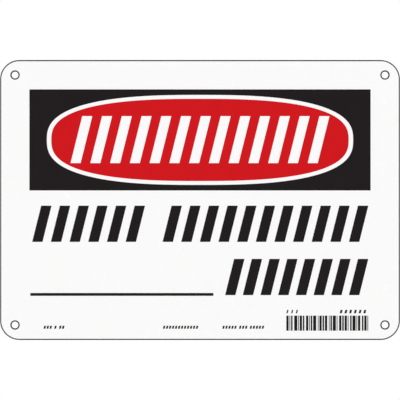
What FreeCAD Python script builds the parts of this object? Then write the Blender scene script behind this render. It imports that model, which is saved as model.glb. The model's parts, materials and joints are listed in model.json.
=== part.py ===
"""Wall safety sign: one flat plate of coated aluminium sheet, with round corners and a screw hole near
each of them. The plate stands upright, as it does on a wall: X runs across it and Z up it, and its
printed face looks towards -Y. The origin is on the back face, at the centre of the four screw holes.

The plate is blanked and punched from its printed side. That rolls the face down towards every cut edge,
and the burr that it leaves round the back is broken off.
"""

import FreeCAD
import Part
import os

from FreeCAD import Vector

# The sheet, in millimetres
PLATE_WIDTH = 254.0  # 10 in
PLATE_HEIGHT = 177.8  # 7 in
SHEET_THICKNESS = 1.0
CORNER_RADIUS = 12.3

# The screw holes
HOLE_DIAMETER = 4.3  # clears an M4 or a No. 8 screw
HOLE_EDGE_DISTANCE = 9.53  # 3/8 in, from each of the two nearest sides to the hole's centre

# The face's roll-over at the cut edges: its width across the face and its depth into the sheet
ROLL_WIDTH = 0.6
ROLL_DEPTH = 0.25

# The broken edges of the back: a bevel of equal width and depth
BACK_BREAK = 0.1

# How far a cutting shape stands out of the sheet, so that it never ends flush with it
CUT_MARGIN = 0.5

OUT_OF_FACE = Vector(0, -1, 0)
OUT_OF_BACK = Vector(0, 1, 0)
FACE_Y = -SHEET_THICKNESS
BACK_Y = 0.0
QUARTER_TURN = 90
FULL_TURN = 360


def corner_walk():
    """Walks round the outline, anticlockwise as seen from the front. Each step is one straight side and
    the round corner after it: the last corner's centre, this corner's centre, and the directions out of
    the plate at the corner's start and end."""
    x = PLATE_WIDTH / 2 - CORNER_RADIUS
    z = PLATE_HEIGHT / 2 - CORNER_RADIUS
    centres = [Vector(x, 0, -z), Vector(x, 0, z), Vector(-x, 0, z), Vector(-x, 0, -z)]
    outwards = [Vector(0, 0, -1), Vector(1, 0, 0), Vector(0, 0, 1), Vector(-1, 0, 0)]
    for i, centre in enumerate(centres):
        yield centres[i - 1], centre, outwards[i], outwards[(i + 1) % len(outwards)]


def hole_centres():
    """The four screw holes' centres, one near each corner."""
    x = PLATE_WIDTH / 2 - HOLE_EDGE_DISTANCE
    z = PLATE_HEIGHT / 2 - HOLE_EDGE_DISTANCE
    return [Vector(sx * x, 0, sz * z) for sx in (-1, 1) for sz in (-1, 1)]


def blank():
    """The sheet inside its outline: straight sides joined by tangent quarter circles."""
    edges = []
    for before, centre, outward, next_outward in corner_walk():
        side_start = before + outward * CORNER_RADIUS
        side_end = centre + outward * CORNER_RADIUS
        arc_middle = centre + (outward + next_outward).normalize() * CORNER_RADIUS
        arc_end = centre + next_outward * CORNER_RADIUS
        edges.append(Part.LineSegment(side_start, side_end).toShape())
        edges.append(Part.Arc(side_end, arc_middle, arc_end).toShape())
    outline = Part.Face(Part.Wire(edges))
    return outline.extrude(OUT_OF_FACE * SHEET_THICKNESS)


def punched_hole(centre):
    """The punch's path through the sheet, at one hole."""
    start = centre + Vector(0, BACK_Y, 0) + OUT_OF_BACK * CUT_MARGIN
    length = SHEET_THICKNESS + 2 * CUT_MARGIN
    return Part.makeCylinder(HOLE_DIAMETER / 2, length, start, OUT_OF_FACE)


def section_beyond(trim, edge_point, on_side, on_cut):
    """A flat face across a square edge, from the trim's line outwards: all that is cut away there. The
    trim runs from on_side, on the plate's face or back, to on_cut, on the cut wall."""
    clear_of_side = (edge_point - on_cut).normalize() * CUT_MARGIN
    clear_of_cut = (edge_point - on_side).normalize() * CUT_MARGIN
    beyond = [
        on_cut,
        on_cut + clear_of_cut,
        edge_point + clear_of_cut + clear_of_side,
        on_side + clear_of_side,
        on_side,
    ]
    return Part.Face(Part.Wire([trim.toShape()] + Part.makePolygon(beyond).Edges))


def roll_section(edge_point, into_sheet):
    """The section of the roll-over at the face: an arc that leaves the face smoothly and meets the cut
    wall at an angle, as a sheared edge does. edge_point is where the face and the cut wall would meet,
    and into_sheet points from it across the plate."""
    edge_point = edge_point + Vector(0, FACE_Y, 0)
    on_side = edge_point + into_sheet * ROLL_WIDTH
    on_cut = edge_point - OUT_OF_FACE * ROLL_DEPTH
    radius = (ROLL_WIDTH ** 2 + ROLL_DEPTH ** 2) / (2 * ROLL_DEPTH)
    arc_centre = on_side - OUT_OF_FACE * radius
    halfway = ((on_side + on_cut) / 2 - arc_centre).normalize()
    arc = Part.Arc(on_side, arc_centre + halfway * radius, on_cut)
    return section_beyond(arc, edge_point, on_side, on_cut)


def break_section(edge_point, into_sheet):
    """The section of the broken edge at the back: a straight bevel."""
    edge_point = edge_point + Vector(0, BACK_Y, 0)
    on_side = edge_point + into_sheet * BACK_BREAK
    on_cut = edge_point - OUT_OF_BACK * BACK_BREAK
    return section_beyond(Part.LineSegment(on_side, on_cut), edge_point, on_side, on_cut)


def trim_outline(section_at):
    """The section carried round the outline: straight along each side and turned round each corner."""
    cuts = []
    for before, centre, outward, _ in corner_walk():
        section = section_at(before + outward * CORNER_RADIUS, outward * -1)
        run = centre - before
        cuts.append(section.extrude(run))
        cuts.append(section.translated(run).revolve(centre, OUT_OF_FACE, QUARTER_TURN))
    return cuts


def trim_hole(centre, section_at):
    """The section turned round one screw hole."""
    across = Vector(1, 0, 0)
    section = section_at(centre + across * (HOLE_DIAMETER / 2), across)
    return section.revolve(centre, OUT_OF_FACE, FULL_TURN)


def sign_plate():
    """The whole sign: the blank with its holes punched and every cut edge finished."""
    cuts = trim_outline(roll_section) + trim_outline(break_section)
    for centre in hole_centres():
        cuts.append(punched_hole(centre))
        cuts.append(trim_hole(centre, roll_section))
        cuts.append(trim_hole(centre, break_section))
    return blank().cut(cuts).removeSplitter()


os.makedirs("parts", exist_ok=True)
plate = sign_plate()
plate.Solids[0].exportStep("parts/sign_plate.step")
print("sign_plate", plate.ShapeType, len(plate.Solids), plate.isValid(), round(plate.Volume, 2))
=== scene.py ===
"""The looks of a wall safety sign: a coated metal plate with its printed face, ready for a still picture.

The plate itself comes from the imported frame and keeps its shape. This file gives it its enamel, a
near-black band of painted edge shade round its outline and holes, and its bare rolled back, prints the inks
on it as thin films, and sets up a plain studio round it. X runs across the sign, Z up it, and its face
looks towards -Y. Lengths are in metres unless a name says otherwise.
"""

import bmesh
import bpy
import json
import math
import numpy as np

from bpy.props import FloatProperty, FloatVectorProperty, IntProperty, IntVectorProperty, PointerProperty
from bpy.types import Operator, Panel, PropertyGroup
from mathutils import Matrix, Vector


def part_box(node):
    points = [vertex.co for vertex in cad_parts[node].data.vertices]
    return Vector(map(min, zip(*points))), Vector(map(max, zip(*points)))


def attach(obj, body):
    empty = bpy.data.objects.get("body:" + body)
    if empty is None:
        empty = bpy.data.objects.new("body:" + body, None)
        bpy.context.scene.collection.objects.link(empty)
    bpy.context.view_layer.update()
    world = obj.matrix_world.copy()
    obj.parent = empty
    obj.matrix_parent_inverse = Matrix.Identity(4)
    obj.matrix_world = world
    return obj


bl_info = {
    "name": "Safety sign looks",
    "version": (1, 0, 0),
    "blender": (4, 5, 0),
    "location": "3D View > Sidebar > Sign",
    "description": "Finishes and prints a wall safety sign plate and sets up its studio",
    "category": "Object",
}

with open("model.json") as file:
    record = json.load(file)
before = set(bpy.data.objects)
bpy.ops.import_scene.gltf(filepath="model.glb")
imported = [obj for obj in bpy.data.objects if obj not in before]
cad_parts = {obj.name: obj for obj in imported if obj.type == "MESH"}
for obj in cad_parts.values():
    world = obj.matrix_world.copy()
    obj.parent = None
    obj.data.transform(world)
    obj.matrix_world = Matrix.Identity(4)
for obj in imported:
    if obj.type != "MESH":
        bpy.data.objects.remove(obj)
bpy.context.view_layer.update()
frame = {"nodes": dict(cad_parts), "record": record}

PLATE = "sign_plate"
BODY = "root"
PLATE_LOW, PLATE_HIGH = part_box(PLATE)
FACE_Y = PLATE_LOW.y
BACK_Y = PLATE_HIGH.y
PLATE_WIDTH = PLATE_HIGH.x - PLATE_LOW.x
SHEET_SLOT = "coated_sheet"
RED_SLOT = "red_ink"
BLACK_SLOT = "black_ink"

MM = 0.001
FULL_TURN = 2 * math.pi

WHITE = (1.0, 1.0, 1.0, 1.0)
OFF_WHITE = (0.9, 0.9, 0.9, 1.0)

HOLE = next(mount for mount in frame["record"]["mounts"] if mount["kind"] == "bore")
HOLE_RADIUS = HOLE["dims"]["r_mm"] * MM
HOLE_X, _, HOLE_Z = (abs(value) for value in HOLE["pos_m"])


def length(name, description, default, least=0.0):
    """A property that holds a length in metres."""
    return FloatProperty(
        name=name,
        description=description,
        default=default,
        min=least,
        precision=5,
        subtype="DISTANCE",
        unit="LENGTH",
    )


def place(name, description, default):
    """A property that holds a place across or up the sign, which may be negative."""
    return length(name, description, default, least=-PLATE_WIDTH)


def colour(name, description, default):
    """A property that holds a linear colour."""
    return FloatVectorProperty(
        name=name, description=description, default=default, min=0.0, max=1.0, size=3, subtype="COLOR"
    )


def share(name, description, default):
    """A property that holds a share from 0 to 1."""
    return FloatProperty(
        name=name, description=description, default=default, min=0.0, max=1.0, subtype="FACTOR"
    )


def angle(name, description, degrees):
    """A property that holds an angle, given in degrees."""
    return FloatProperty(
        name=name, description=description, default=math.radians(degrees), subtype="ANGLE", unit="ROTATION"
    )


def count(name, description, default):
    """A property that holds a number of like things."""
    return IntProperty(name=name, description=description, default=default, min=1)


def counts(name, description, default):
    """A property that holds the number of like things in each of a few groups."""
    return IntVectorProperty(name=name, description=description, default=default, size=len(default), min=1)


class SignInk(PropertyGroup):
    """The printed film, and what all its bars share."""

    thickness: length("Film thickness", "How far the dry ink stands out of the face", 0.03 * MM)
    key: length("Film key", "How far the ink bites into the enamel, so that no gap shows", 0.01 * MM)
    corner: length("Corner radius", "How round the print's sharp corners come out of the screen", 0.15 * MM)
    fine_corner: length("Fine corner radius", "How round the small print's corners come out", 0.05 * MM)
    lean: share("Lean", "How far a slanted bar leans to the right, as a share of its height", 0.25)


class SignHeader(PropertyGroup):
    """The black field at the top, its white ring and the red oval inside it."""

    width: length("Field width", "Width of the black field", 216.65 * MM)
    height: length("Field height", "Height of the black field", 64.2 * MM)
    centre_z: place("Field centre", "Height of the field's centre over the sign's middle", 38.15 * MM)
    ring_width: length("Ring width", "Width of the white ring, to its outer edge", 194.5 * MM)
    ring_height: length("Ring height", "Height of the white ring, to its outer edge", 57.15 * MM)
    oval_width: length("Oval width", "Width of the red oval", 188.85 * MM)
    oval_height: length("Oval height", "Height of the red oval", 52.25 * MM)
    fullness: FloatProperty(
        name="Fullness", description="Exponent of the oval, where 2 is an ellipse", default=2.64, min=2.0
    )
    row_width: length("Row width", "Width of the row of bars left open in the red", 164.4 * MM)
    row_height: length("Row height", "Height of the row of bars left open in the red", 29.85 * MM)
    row_centre_z: place("Row centre", "Height of the row's centre over the sign's middle", 38.35 * MM)
    stroke: length("Stroke", "Width of one open bar", 6.35 * MM)
    bars: count("Bars", "How many bars are left open in the red", 13)


class SignMessage(PropertyGroup):
    """The two rows of black bars under the header, and the line to write on."""

    left: place("Left", "Left end of the upper row", -106.6 * MM)
    right: place("Right", "Right end of both rows", 106.9 * MM)
    height: length("Bar height", "Height of the bars", 23.0 * MM)
    stroke: length("Stroke", "Width of one bar", 6.6 * MM)
    upper_foot: place("Upper row foot", "Height of the upper row's foot", -26.6 * MM)
    lower_foot: place("Lower row foot", "Height of the lower row's foot", -60.4 * MM)
    gap_left: place("Gap from", "Where the upper row's first group ends", -34.9 * MM)
    gap_right: place("Gap to", "Where the upper row's second group starts", -23.8 * MM)
    lower_left: place("Lower row left", "Left end of the lower row", 15.9 * MM)
    first_bars: count("First group", "Bars in the upper row's first group", 6)
    second_bars: count("Second group", "Bars in the upper row's second group", 11)
    lower_bars: count("Lower row", "Bars in the lower row", 8)
    line_left: place("Line left", "Left end of the line to write on", -107.75 * MM)
    line_right: place("Line right", "Right end of the line to write on", 8.55 * MM)
    line_foot: place("Line foot", "Height of the line's lower edge", -60.85 * MM)
    line_height: length("Line thickness", "Thickness of the line to write on", 1.8 * MM)


class SignStrip(PropertyGroup):
    """The strip of upright bars at the lower right."""

    left: place("Left", "Left end of the strip", 54.8 * MM)
    right: place("Right", "Right end of the strip", 106.8 * MM)
    foot: place("Foot", "Height of the strip's foot", -83.0 * MM)
    height: length("Height", "Height of the strip's bars", 9.6 * MM)
    bars: count("Bars", "How many bars the strip has", 30)


class SignSmallMarks(PropertyGroup):
    """The rows of small marks along the bottom edge, and the two groups of marks over the strip."""

    stroke: length("Stroke", "Width of one mark along the bottom", 1.2 * MM)
    pitch: length("Pitch", "Distance from mark to mark along the bottom", 1.9 * MM)
    space: length("Space", "What a gap between two groups along the bottom adds to the pitch", 1.1 * MM)
    height: length("Height", "Height of the marks along the bottom", 1.9 * MM)
    foot: place("Foot", "Height of the foot of the marks along the bottom", -81.75 * MM)
    first_left: place("First row left", "Left end of the first row", -99.4 * MM)
    first_groups: counts("First row marks", "Marks in each group of the first row", (3, 1, 2))
    second_left: place("Second row left", "Left end of the second row", -23.6 * MM)
    second_groups: counts("Second row marks", "Marks in the second row, which is one group", (12,))
    third_left: place("Third row left", "Left end of the third row", 14.1 * MM)
    third_groups: counts("Third row marks", "Marks in each group of the third row", (5, 3, 5))
    upper_pitch: length("Upper pitch", "Distance from mark to mark over the strip", 3.0 * MM)
    upper_height: length("Upper height", "Height of the marks over the strip", 2.2 * MM)
    upper_foot: place("Upper foot", "Height of the foot of the marks over the strip", -71.95 * MM)
    upper_stroke: length("Upper stroke", "Width of one mark of the first group over the strip", 0.9 * MM)
    upper_left: place("Upper left", "Left end of the first group over the strip", 54.8 * MM)
    upper_marks: count("Upper marks", "Marks in the first group over the strip", 3)
    last_stroke: length("Last stroke", "Width of one mark of the last group over the strip", 1.35 * MM)
    last_left: place("Last left", "Left end of the last group over the strip", 88.7 * MM)
    last_marks: count("Last marks", "Marks in the last group over the strip", 6)


class SignCoats(PropertyGroup):
    """Where the plate's coats and its painted edge shade end, and how they, the bare metal and the inks
    take the light.
    """

    # Painted edge shade: how far the near-black band laps on to the face from the outline and from each
    # hole
    edge_shade_reach: length("Seal reach", "How far in from the outline the dark lacquer laps", 0.78 * MM)
    hole_shade_reach: length("Seal reach at holes", "How far out from a hole the dark lacquer laps", 0.84 * MM)
    corner_radius: length("Corner radius", "Radius of the sheet's four corners", 12.3 * MM)
    clear_coat: share("Clear coat", "Weight of the clear coat over the enamel", 0.2)
    shine: share("Shine", "How strongly the enamel and the lacquer reflect, where 0.5 is usual", 0.35)
    enamel_roughness: share("Enamel roughness", "Least roughness of the enamel", 0.24)
    # Roughness of the band of painted edge shade
    edge_shade_roughness: share("Seal roughness", "Least roughness of the lacquer on the cut edges", 0.5)
    metal_roughness: share("Metal roughness", "Least roughness of the bare back", 0.3)
    relief: length("Relief", "Height of the back's lines, of which the coats have a share", 0.012 * MM)
    ink_roughness: share("Ink roughness", "Least roughness of the inks", 0.38)
    ink_shine: share("Ink shine", "How strongly the inks reflect, where 0.5 is usual", 0.15)
    ink_relief: length("Ink relief", "Depth of the weave that the screen leaves in the ink", 0.003 * MM)


class SignColours(PropertyGroup):
    """The colours of the coats, the painted edge shade, the inks and the metal."""

    enamel: colour("Enamel", "White of the baked enamel", (0.935, 0.935, 0.933))
    red: colour("Red ink", "Red of the oval", (0.6, 0.0018, 0.0055))
    black: colour("Black ink", "Black of the field and the bars", (0.0105, 0.0077, 0.0086))
    # Painted shade: the near-black colour of the band round the cut edges and holes, standing in for their
    # shade
    edge_shade: colour("Edge seal", "Dark lacquer on the cut edges", (0.018, 0.018, 0.019))
    metal: colour("Back", "Bare rolled sheet of the back", (0.59, 0.595, 0.605))


class SignStudio(PropertyGroup):
    """The camera, the floor and the light."""

    lens_mm: FloatProperty(name="Lens", description="Focal length in millimetres", default=280.0, min=1.0)
    view_width: length("View width", "Width of the picture at the sign's face", PLATE_WIDTH)
    sight: length("Sight", "How far the camera sees", 100.0)
    floor_drop: length("Floor", "How far the floor lies below the sign's middle", 0.36)
    floor_radius: length("Floor radius", "Radius of the floor", 6.0)
    ambient: share("Ambient", "Light that comes evenly from all round", 0.63)
    lamp_power: FloatProperty(
        name="Lamp power", description="Power of each lamp", default=8.4, min=0.0, unit="POWER"
    )
    lamp_distance: length("Lamp distance", "From the sign's middle to each lamp", 1.7)
    lamp_size: length("Lamp size", "Side of each square lamp", 1.2)
    lamp_turn: angle("Lamp turn", "How far each lamp stands to the side of the sign's middle", 50)
    lamp_rise: angle("Lamp rise", "How far each lamp stands over the level", 28)
    front_dim: share("Front dim", "How much darker mirror-like surfaces see the room in front", 0.92)
    back_dim: share("Back dim", "How much darker mirror-like surfaces see the room behind the sign", 0.4)


class Wire:
    """An output of a node. Arithmetic on wires and numbers adds Math nodes and gives their output."""

    def __init__(self, nodes, socket):
        self.nodes = nodes
        self.socket = socket

    def math(self, operation, *operands):
        return self.nodes.add("ShaderNodeMath", {"operation": operation}, dict(enumerate(operands)))

    def __add__(self, other):
        return self.math("ADD", self, other)

    def __radd__(self, other):
        return self.math("ADD", other, self)

    def __sub__(self, other):
        return self.math("SUBTRACT", self, other)

    def __rsub__(self, other):
        return self.math("SUBTRACT", other, self)

    def __mul__(self, other):
        return self.math("MULTIPLY", self, other)

    def __rmul__(self, other):
        return self.math("MULTIPLY", other, self)

    def __neg__(self):
        return self.math("MULTIPLY", self, -1)

    def least(self, other):
        """The smaller of this and another, point by point."""
        return self.math("MINIMUM", self, other)


def socket_of(sockets, key):
    """A node's socket, by its number or by its identifier, which is never the same twice."""
    if isinstance(key, int):
        return sockets[key]
    return next(socket for socket in sockets if socket.identifier == key)


class Nodes:
    """The node tree of a material or of the world, emptied and ready for new nodes."""

    def __init__(self, owner):
        owner.use_nodes = True
        self.tree = owner.node_tree
        self.tree.nodes.clear()

    def add(self, kind, settings=None, sockets=None, output=0):
        """Adds a node, with its settings first and then its sockets, each a wire or a plain value."""
        node = self.tree.nodes.new(kind)
        for name, value in (settings or {}).items():
            setattr(node, name, value)
        for key, value in (sockets or {}).items():
            socket = socket_of(node.inputs, key)
            if isinstance(value, Wire):
                self.tree.links.new(value.socket, socket)
            else:
                socket.default_value = value
        return Wire(self, socket_of(node.outputs, output)) if node.outputs else None

    def mix(self, factor, first, second):
        """The first colour where factor is 0 and the second where it is 1."""
        sockets = {"Factor_Float": factor, "A_Color": first, "B_Color": second}
        return self.add("ShaderNodeMix", {"data_type": "RGBA"}, sockets, "Result_Color")

    def mix_shaders(self, factor, first, second):
        """The first shader where factor is 0 and the second where it is 1."""
        return self.add("ShaderNodeMixShader", {}, {"Fac": factor, "Shader": first, "Shader_001": second})

    def vector(self, operation, *operands, output="Vector"):
        """The outcome of Vector Math, which is a vector, or a number where the output is Value."""
        return self.add("ShaderNodeVectorMath", {"operation": operation}, dict(enumerate(operands)), output)

    def step(self, value, start, end):
        """0 below start, 1 above end, and a smooth rise between them."""
        sockets = {"Value": value, "From Min": start, "From Max": end}
        return self.add("ShaderNodeMapRange", {"interpolation_type": "SMOOTHSTEP"}, sockets)

    def spot(self, stretch=(1.0, 1.0, 1.0)):
        """The point's place in millimetres, with each axis stretched by its own factor."""
        coordinates = self.add("ShaderNodeTexCoord", output="Object")
        return self.vector("MULTIPLY", coordinates, tuple(s / MM for s in stretch))

    def noise(self, size_mm, stretch=(1.0, 1.0, 1.0), detail=2.0):
        """Soft noise from 0 to 1, with lumps of about the given size."""
        sockets = {"Vector": self.spot(stretch), "Scale": 1 / size_mm, "Detail": detail}
        return self.add("ShaderNodeTexNoise", {}, sockets)

    def bump(self, height, depth):
        """The normal of a surface whose height rises by depth as the wire goes from 0 to 1."""
        return self.add("ShaderNodeBump", {}, {"Height": height, "Distance": depth})


def blend(factor, first, second):
    """The first number where the wire factor is 0 and the second where it is 1."""
    return first + (second - first) * factor


def rgba(values, scale=1.0):
    """A colour property as four numbers, made lighter or darker by scale."""
    return tuple(min(1.0, v * scale) for v in values) + (1.0,)


def finish(name, build):
    """A material made by build, which gets its nodes and gives back its surface shader."""
    material = bpy.data.materials.new(name)
    nodes = Nodes(material)
    nodes.add("ShaderNodeOutputMaterial", {}, {"Surface": build(nodes)})
    return material


def past_edge_shade(nodes, coats):
    """How far a point lies past the inner edge of the band of painted edge shade, in millimetres and seen
    from the front.

    The sign is alike in its four quarters, so the point's place is taken without its signs. Its distance
    to the outline is the corner's radius less how far the point lies past the corner's centre, across and
    up. Its distance to the hole is the one to the hole's centre less the hole's radius."""
    quarter = nodes.vector("ABSOLUTE", nodes.spot((1.0, 0.0, 1.0)))
    inset = Vector((coats.corner_radius, 0, coats.corner_radius))
    corner = (Vector((PLATE_HIGH.x, 0, PLATE_HIGH.z)) - inset) / MM
    past_corner = nodes.vector("MAXIMUM", nodes.vector("SUBTRACT", quarter, corner), (0, 0, 0))
    to_outline = coats.corner_radius / MM - nodes.vector("LENGTH", past_corner, output="Value")
    hole = Vector((HOLE_X, 0, HOLE_Z)) / MM
    to_hole = nodes.vector("DISTANCE", quarter, hole, output="Value") - HOLE_RADIUS / MM
    outline_edge = to_outline - coats.edge_shade_reach / MM
    hole_edge = to_hole - coats.hole_shade_reach / MM
    return outline_edge.least(hole_edge)


def plate_finish(colours, coats):
    """White enamel on the face, bare rolled metal on the back, and a near-black band of painted shade round
    their cut edges and holes.
    """
    fade_mm = 0.02
    thickness_mm = (BACK_Y - FACE_Y) / MM
    clear_roughness = 0.1

    # The patterns' sizes. The back's rolling lines and bands are drawn out along X.
    cloud_mm = 35.0
    peel_mm = 1.6
    grain_mm = 0.12
    grain_detail = 3.0
    line_mm = 0.35
    line_stretch = (0.004, 1.0, 1.0)
    line_detail = 4.0
    band_mm = 6.0
    band_stretch = (0.03, 1.0, 1.0)
    band_share = 0.35

    # How far the patterns darken, lighten, roughen and raise the surface
    enamel_dip = 0.992
    edge_shade_dip, edge_shade_rise = 0.7, 1.3
    metal_dip, metal_rise = 0.8, 1.15
    enamel_spread, edge_shade_spread, metal_spread = 0.05, 0.1, 0.16
    peel_relief, edge_shade_relief = 0.12, 0.3

    def build(nodes):
        y_mm = nodes.add("ShaderNodeSeparateXYZ", {}, {"Vector": nodes.spot()}, output="Y")
        depth = y_mm - FACE_Y / MM
        # Painted shade: 1 in the near-black band on the cut edges and lapping on to the face round the
        # outline and each hole
        in_edge_shade = 1 - nodes.step(past_edge_shade(nodes, coats), 0.0, fade_mm)
        back = nodes.step(depth, thickness_mm - fade_mm, thickness_mm)

        clouds = nodes.noise(cloud_mm)
        peel = nodes.noise(peel_mm)
        lines = nodes.noise(line_mm, line_stretch, line_detail)
        bands = nodes.noise(band_mm, band_stretch)
        streaks = blend(band_share, lines, bands)
        grain = nodes.noise(grain_mm, detail=grain_detail)

        enamel = nodes.mix(clouds, rgba(colours.enamel, enamel_dip), rgba(colours.enamel))
        metal = nodes.mix(streaks, rgba(colours.metal, metal_dip), rgba(colours.metal, metal_rise))
        # The painted edge shade's colour, with a random grain in it
        edge_shade = nodes.mix(grain, rgba(colours.edge_shade, edge_shade_dip), rgba(colours.edge_shade, edge_shade_rise))

        enamel_roughness = coats.enamel_roughness + enamel_spread * clouds
        metal_roughness = coats.metal_roughness + metal_spread * streaks
        edge_shade_roughness = coats.edge_shade_roughness + edge_shade_spread * grain
        height = blend(in_edge_shade, blend(back, peel_relief * peel, lines), edge_shade_relief * grain)
        sockets = {
            "Base Color": nodes.mix(in_edge_shade, nodes.mix(back, enamel, metal), edge_shade),
            "Roughness": blend(in_edge_shade, blend(back, enamel_roughness, metal_roughness), edge_shade_roughness),
            "Metallic": back * (1 - in_edge_shade),
            "Specular IOR Level": coats.shine,
            "Coat Weight": coats.clear_coat * (1 - back) * (1 - in_edge_shade),
            "Coat Roughness": clear_roughness,
            "Normal": nodes.bump(height, coats.relief),
        }
        return nodes.add("ShaderNodeBsdfPrincipled", {}, sockets)

    return finish(SHEET_SLOT, build)


def ink_finish(name, ink, coats):
    """Satin screen ink: an even colour with faint clouds, and the fine weave that the screen leaves."""
    cloud_mm = 14.0
    weave_mm = 0.3
    weave_detail = 1.0
    dip, rise = 0.96, 1.04
    roughness_spread = 0.1

    def build(nodes):
        clouds = nodes.noise(cloud_mm)
        weave = nodes.noise(weave_mm, detail=weave_detail)
        sockets = {
            "Base Color": nodes.mix(clouds, rgba(ink, dip), rgba(ink, rise)),
            "Roughness": coats.ink_roughness + roughness_spread * clouds,
            "Specular IOR Level": coats.ink_shine,
            "Normal": nodes.bump(weave, coats.ink_relief),
        }
        return nodes.add("ShaderNodeBsdfPrincipled", {}, sockets)

    return finish(name, build)


def oval(width, height, fullness, centre_z):
    """A full oval round (0, centre_z), anticlockwise from its right end. At turn t it lies at half the
    width times the cosine and half the height times the sine of t, each raised to 2 over the fullness and
    keeping its sign. The points are then spaced evenly along it."""
    points = 256
    tries_per_point = 16
    turn = np.linspace(0, FULL_TURN, points * tries_per_point + 1)
    directions = np.stack([np.cos(turn), np.sin(turn)], axis=-1)
    halves = np.array([width / 2, height / 2])
    line = np.sign(directions) * np.abs(directions) ** (2 / fullness) * halves
    travel = np.concatenate([[0], np.cumsum(np.linalg.norm(np.diff(line, axis=0), axis=1))])
    even = np.linspace(0, travel[-1], points, endpoint=False)
    return np.stack([np.interp(even, travel, line[:, i]) for i in (0, 1)], axis=-1) + (0, centre_z)


def rounded(corners, radius):
    """Closed outlines with round corners, from arrays of corners that run anticlockwise. A corner's arc
    has its centre on the corner's bisector, at the radius over the sine of half the corner's angle, and
    turns evenly from the one tangent point to the other."""
    steps = 4
    towards_last = np.roll(corners, 1, axis=-2) - corners
    towards_next = np.roll(corners, -1, axis=-2) - corners
    towards_last /= np.linalg.norm(towards_last, axis=-1, keepdims=True)
    towards_next /= np.linalg.norm(towards_next, axis=-1, keepdims=True)
    half = np.arccos(np.sum(towards_last * towards_next, axis=-1, keepdims=True)) / 2
    bisector = (towards_last + towards_next) / (2 * np.cos(half))
    centre = corners + bisector * radius / np.sin(half)
    reach = radius / np.tan(half)
    spokes = [corners + towards * reach - centre for towards in (towards_last, towards_next)]
    part = np.linspace(0, 1, steps)[:, None]
    sweep = (math.pi - 2 * half)[..., None, :]
    start, end = (spoke[..., None, :] for spoke in spokes)
    arc = start * np.sin((1 - part) * sweep) + end * np.sin(part * sweep)
    points = centre[..., None, :] + arc / np.sin(sweep)
    return points.reshape(*corners.shape[:-2], -1, 2)


def bars(lefts, foot, height, strokes, lean):
    """The four corners of each bar, anticlockwise from the foot's left end. Its top is its foot moved up
    by the height and to the right by the lean."""
    lefts, strokes = np.broadcast_arrays(lefts, strokes)
    xs = np.stack([lefts, lefts + strokes, lefts + strokes + lean, lefts + lean], axis=-1)
    zs = np.array([foot, foot, foot + height, foot + height])
    return np.stack([xs, np.broadcast_to(zs, xs.shape)], axis=-1)


def bar_row(left, right, foot, height, stroke, lean, number):
    """Slanted bars that fill the row from left to right with equal gaps."""
    return bars(np.linspace(left, right - stroke - lean, number), foot, height, stroke, lean)


def film(name, outlines, ink):
    """Makes a printed film: flat on top, closed underneath, with a rounded lip round each outline.

    The outlines are closed, and run anticlockwise round ink and clockwise round openings in it. The lip's
    section, from the underside up the film's edge and a quarter turn on to its top, is carried along each
    outline: a point is moved to the left of the outline's direction, along its mitre, by the section's
    inset, and out of the face by the section's height. Then the lip's two rims are filled."""
    turn_steps = 3
    lip = ink.thickness / 2
    turn = np.linspace(0, math.pi / 2, turn_steps)
    insets = np.concatenate([[0.0], lip * (1 - np.cos(turn))])
    heights = np.concatenate([[-ink.key], ink.thickness - lip + lip * np.sin(turn)])
    stations = len(insets)

    vertices = []
    faces = []
    base = 0
    for outline in outlines:
        ahead = np.roll(outline, -1, axis=0) - outline
        ahead /= np.linalg.norm(ahead, axis=1, keepdims=True)
        left = np.stack([-ahead[:, 1], ahead[:, 0]], axis=-1)
        left_before = np.roll(left, 1, axis=0)
        mitre = (left + left_before) / (1 + np.sum(left * left_before, axis=1, keepdims=True))
        plan = outline + mitre * insets[:, None, None]
        points = np.empty((stations, len(outline), 3))
        points[..., 0] = plan[..., 0]
        points[..., 1] = FACE_Y - heights[:, None]
        points[..., 2] = plan[..., 1]
        index = base + np.arange(points[..., 0].size).reshape(stations, -1)
        after = np.roll(index, -1, axis=1)
        quads = np.stack([index[:-1], after[:-1], after[1:], index[1:]], axis=-1)
        vertices.append(points.reshape(-1, 3))
        faces += quads.reshape(-1, 4).tolist()
        base += index.size

    mesh = bpy.data.meshes.new(name)
    mesh.from_pydata(np.concatenate(vertices).tolist(), [], faces)
    fill_rims(mesh)
    piece = bpy.data.objects.new(name, mesh)
    bpy.context.scene.collection.objects.link(piece)
    return piece


def fill_rims(mesh):
    """Closes a film's lip with a flat top, which looks out of the sign's face, and a flat underside."""
    shell = bmesh.new()
    shell.from_mesh(mesh)
    rims = [edge for edge in shell.edges if edge.is_boundary]
    for outwards in (-1, 1):
        rim = [edge for edge in rims if (edge.verts[0].co.y - FACE_Y) * outwards > 0]
        bmesh.ops.triangle_fill(shell, use_beauty=True, edges=rim, normal=(0, outwards, 0))
    shell.to_mesh(mesh)
    shell.free()
    mesh.validate()


def print_film(context, name, outlines, slot):
    """Makes a film, gives it its ink, which all films of that ink share, and lets it ride on the plate."""
    scene = context.scene
    ink = {RED_SLOT: scene.sign_colours.red, BLACK_SLOT: scene.sign_colours.black}[slot]
    piece = film(name, outlines, scene.sign_ink)
    piece.data.materials.append(bpy.data.materials.get(slot) or ink_finish(slot, ink, scene.sign_coats))
    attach(piece, BODY)


def print_bars(context, name, row, corner):
    """Prints a row of bars in black, with round corners."""
    print_film(context, name, rounded(row, corner), BLACK_SLOT)


class SIGN_OT_finish_plate(Operator):
    """Coat the plate: enamel on its face, a near-black band of painted shade on its edges and bare metal on
    its back
    """

    bl_idname = "sign.finish_plate"
    bl_label = "Finish Plate"

    def execute(self, context):
        scene = context.scene
        plate = frame["nodes"][PLATE]
        plate.material_slots[0].material = plate_finish(scene.sign_colours, scene.sign_coats)
        return {"FINISHED"}


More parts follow.
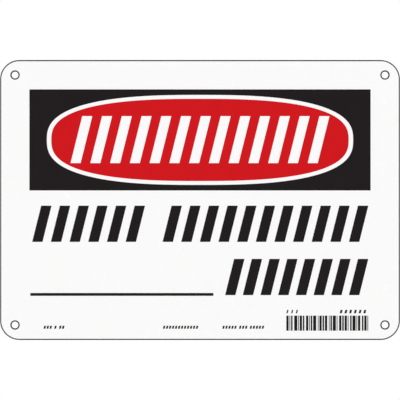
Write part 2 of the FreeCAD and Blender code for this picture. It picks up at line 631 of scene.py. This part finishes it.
class SIGN_OT_print_header(Operator):
    """Print the black field, open for its white ring, and the red oval with its open bars"""

    bl_idname = "sign.print_header"
    bl_label = "Print Header"

    def execute(self, context):
        header = context.scene.sign_header
        ink = context.scene.sign_ink

        foot = header.centre_z - header.height / 2
        field = bars([-header.width / 2], foot, header.height, header.width, 0.0)
        edge = rounded(field, ink.corner)[0]
        ring = oval(header.ring_width, header.ring_height, header.fullness, header.centre_z)
        print_film(context, "header_black_field", [edge, ring[::-1]], BLACK_SLOT)

        red_edge = oval(header.oval_width, header.oval_height, header.fullness, header.centre_z)
        row_foot = header.row_centre_z - header.row_height / 2
        lean = header.row_height * ink.lean
        reach = header.row_width / 2
        row = bar_row(-reach, reach, row_foot, header.row_height, header.stroke, lean, header.bars)
        openings = [outline[::-1] for outline in rounded(row, ink.corner)]
        print_film(context, "header_red_oval", [red_edge, *openings], RED_SLOT)
        return {"FINISHED"}


class SIGN_OT_print_message(Operator):
    """Print the two rows of black bars under the header, and the line to write on"""

    bl_idname = "sign.print_message"
    bl_label = "Print Message"

    def execute(self, context):
        message = context.scene.sign_message
        ink = context.scene.sign_ink
        size = (message.height, message.stroke, message.height * ink.lean)
        upper = message.upper_foot
        lower = message.lower_foot
        rows = {
            "message_upper_first": (message.left, message.gap_left, upper, *size, message.first_bars),
            "message_upper_second": (message.gap_right, message.right, upper, *size, message.second_bars),
            "message_lower": (message.lower_left, message.right, lower, *size, message.lower_bars),
        }
        for name, row in rows.items():
            print_bars(context, name, bar_row(*row), ink.corner)

        line_width = message.line_right - message.line_left
        line = bars([message.line_left], message.line_foot, message.line_height, line_width, 0.0)
        print_bars(context, "writing_line", line, ink.corner)
        return {"FINISHED"}


class SIGN_OT_print_strip(Operator):
    """Print the strip of upright bars at the lower right"""

    bl_idname = "sign.print_strip"
    bl_label = "Print Strip"

    def execute(self, context):
        # Widths of the bars and gaps, as multiples of the thinnest bar, which repeat along the strip
        bar_widths = (3, 1, 2, 4, 1, 3, 2)
        gap_widths = (1, 1, 2, 1)
        strip = context.scene.sign_strip
        widths = np.resize(bar_widths, strip.bars)
        gaps = np.resize(gap_widths, strip.bars - 1)
        starts = np.concatenate([[0], np.cumsum(widths[:-1] + gaps)])
        unit = (strip.right - strip.left) / (starts[-1] + widths[-1])
        upright = bars(strip.left + starts * unit, strip.foot, strip.height, widths * unit, 0.0)
        print_bars(context, "bar_strip", upright, context.scene.sign_ink.fine_corner)
        return {"FINISHED"}


class SIGN_OT_print_small_marks(Operator):
    """Print the rows of small marks along the bottom edge, and the marks over the strip"""

    bl_idname = "sign.print_small_marks"
    bl_label = "Print Small Marks"

    def execute(self, context):
        marks = context.scene.sign_small_marks
        ink = context.scene.sign_ink
        rows = {
            "small_marks_first": (marks.first_left, marks.first_groups),
            "small_marks_second": (marks.second_left, marks.second_groups),
            "small_marks_third": (marks.third_left, marks.third_groups),
        }
        for name, (left, groups) in rows.items():
            spaces = np.repeat(np.arange(len(groups)), groups)
            lefts = left + np.arange(sum(groups)) * marks.pitch + spaces * marks.space
            row = bars(lefts, marks.foot, marks.height, marks.stroke, marks.height * ink.lean)
            print_bars(context, name, row, ink.fine_corner)

        upper_rows = {
            "marks_over_strip_left": (marks.upper_left, marks.upper_marks, marks.upper_stroke),
            "marks_over_strip_right": (marks.last_left, marks.last_marks, marks.last_stroke),
        }
        for name, (left, number, stroke) in upper_rows.items():
            lefts = left + np.arange(number) * marks.upper_pitch
            row = bars(lefts, marks.upper_foot, marks.upper_height, stroke, marks.upper_height * ink.lean)
            print_bars(context, name, row, ink.fine_corner)
        return {"FINISHED"}


class SIGN_OT_set_studio(Operator):
    """Set up the camera, the floor, the lamps and the light from all round"""

    bl_idname = "sign.set_studio"
    bl_label = "Set Studio"

    def execute(self, context):
        studio = context.scene.sign_studio
        self.add_camera(context, studio)
        self.add_floor(context, studio)
        self.add_lamps(context, studio)
        self.light_world(context, studio)
        context.scene.view_settings.view_transform = "Standard"
        return {"FINISHED"}

    def add_camera(self, context, studio):
        """Looks straight at the face. Its distance is what makes the picture as wide as the sign."""
        camera = bpy.data.cameras.new("camera")
        camera.lens = studio.lens_mm
        distance = studio.view_width * camera.lens / camera.sensor_width
        camera.clip_end = studio.sight
        seat = bpy.data.objects.new("camera", camera)
        seat.location = (0.0, FACE_Y - distance, 0.0)
        seat.rotation_euler = (math.pi / 2, 0.0, 0.0)
        context.scene.collection.objects.link(seat)
        context.scene.camera = seat

    def add_floor(self, context, studio):
        """A round floor: a point at turn t and share s of the radius. It fades to plain white outwards,
        and can't be seen from below."""
        rings = 12
        spokes = 64
        shares = np.linspace(0, 1, rings + 1)[1:]
        turns = np.arange(spokes) * FULL_TURN / spokes
        out, turn = np.meshgrid(shares, turns, indexing="ij")
        points = np.stack([np.cos(turn) * out, np.sin(turn) * out, np.zeros_like(out)], axis=-1)
        vertices = points.reshape(-1, 3) * studio.floor_radius - (0, 0, studio.floor_drop)
        index = np.arange(rings * spokes).reshape(rings, spokes)
        after = np.roll(index, -1, axis=1)
        quads = np.stack([index[:-1], index[1:], after[1:], after[:-1]], axis=-1)
        mesh = bpy.data.meshes.new("floor")
        mesh.from_pydata(vertices.tolist(), [], quads.reshape(-1, 4).tolist() + [index[0].tolist()])
        mesh.materials.append(self.floor_finish())
        floor = bpy.data.objects.new("floor", mesh)
        context.scene.collection.objects.link(floor)

    def floor_finish(self):
        """Matt near the sign, and plain white away from it where the camera sees it."""
        fade_start_mm = 300.0
        fade_end_mm = 1500.0

        def build(nodes):
            flat = nodes.spot((1.0, 1.0, 0.0))
            away = nodes.vector("LENGTH", flat, output="Value")
            matt = nodes.add("ShaderNodeBsdfDiffuse", {}, {"Color": OFF_WHITE})
            plain = nodes.add("ShaderNodeEmission", {}, {"Color": WHITE})
            seen = nodes.add("ShaderNodeLightPath", output="Is Camera Ray")
            faded = nodes.step(away, fade_start_mm, fade_end_mm) * seen
            top = nodes.mix_shaders(faded, matt, plain)
            under = nodes.add("ShaderNodeNewGeometry", output="Backfacing")
            clear = nodes.add("ShaderNodeBsdfTransparent")
            return nodes.mix_shaders(under, top, clear)

        return finish("floor", build)

    def add_lamps(self, context, studio):
        """Four soft lamps, two in front and two behind, each turned towards the sign's middle."""
        level = math.cos(studio.lamp_rise)
        across = math.sin(studio.lamp_turn) * level
        along = math.cos(studio.lamp_turn) * level
        up = math.sin(studio.lamp_rise)
        for side, side_name in ((-1, "left"), (1, "right")):
            for end, end_name in ((-1, "front"), (1, "back")):
                towards = Vector((side * across, end * along, up))
                lamp = bpy.data.lights.new("lamp", "AREA")
                lamp.shape = "SQUARE"
                lamp.size = studio.lamp_size
                lamp.energy = studio.lamp_power
                seat = bpy.data.objects.new(f"lamp_{end_name}_{side_name}", lamp)
                seat.location = towards * studio.lamp_distance
                seat.rotation_euler = towards.to_track_quat("Z", "Y").to_euler()
                seat.visible_camera = False
                context.scene.collection.objects.link(seat)

    def light_world(self, context, studio):
        """White where the camera sees it. Mirror-like surfaces see it white at the sides, above and
        below, dim where the camera stands and less dim behind the sign. All else gets the even ambient
        light."""
        front_fade = (0.3, 0.8)
        back_fade = (0.5, 0.95)
        world = bpy.data.worlds.new("studio")
        context.scene.world = world
        world.cycles.sampling_method = "NONE"
        nodes = Nodes(world)
        rays = ("Is Camera Ray", "Is Glossy Ray", "Is Transmission Ray")
        camera, glossy, transmission = (nodes.add("ShaderNodeLightPath", output=ray) for ray in rays)
        direction = nodes.add("ShaderNodeTexCoord", output="Generated")
        behind = nodes.add("ShaderNodeSeparateXYZ", {}, {"Vector": direction}, output="Y")
        in_front = nodes.step(-behind, *front_fade)
        at_back = nodes.step(behind, *back_fade)
        room = 1 - studio.front_dim * in_front - studio.back_dim * at_back
        level = blend(camera + transmission, blend(glossy, studio.ambient, room), 1.0)
        light = nodes.add("ShaderNodeBackground", {}, {"Color": WHITE, "Strength": level})
        nodes.add("ShaderNodeOutputWorld", {}, {"Surface": light})


STEPS = (
    SIGN_OT_finish_plate,
    SIGN_OT_print_header,
    SIGN_OT_print_message,
    SIGN_OT_print_strip,
    SIGN_OT_print_small_marks,
    SIGN_OT_set_studio,
)

SETTINGS = {
    "sign_ink": SignInk,
    "sign_header": SignHeader,
    "sign_message": SignMessage,
    "sign_strip": SignStrip,
    "sign_small_marks": SignSmallMarks,
    "sign_coats": SignCoats,
    "sign_colours": SignColours,
    "sign_studio": SignStudio,
}


class SIGN_PT_looks(Panel):
    """Lists the steps and their settings in the 3D view's sidebar"""

    bl_idname = "SIGN_PT_looks"
    bl_label = "Sign Looks"
    bl_space_type = "VIEW_3D"
    bl_region_type = "UI"
    bl_category = "Sign"

    def draw(self, context):
        for step in STEPS:
            self.layout.operator(step.bl_idname)
        for name, group in SETTINGS.items():
            box = self.layout.box()
            box.label(text=group.__name__)
            for key in group.__annotations__:
                box.prop(getattr(context.scene, name), key)


def register():
    for cls in (*SETTINGS.values(), *STEPS, SIGN_PT_looks):
        bpy.utils.register_class(cls)
    for name, group in SETTINGS.items():
        setattr(bpy.types.Scene, name, PointerProperty(type=group))


def unregister():
    for name in SETTINGS:
        delattr(bpy.types.Scene, name)
    for cls in reversed((*SETTINGS.values(), *STEPS, SIGN_PT_looks)):
        bpy.utils.unregister_class(cls)


def main():
    register()
    bpy.ops.sign.finish_plate()
    bpy.ops.sign.print_header()
    bpy.ops.sign.print_message()
    bpy.ops.sign.print_strip()
    bpy.ops.sign.print_small_marks()
    bpy.ops.sign.set_studio()


if __name__ == "__main__":
    main()
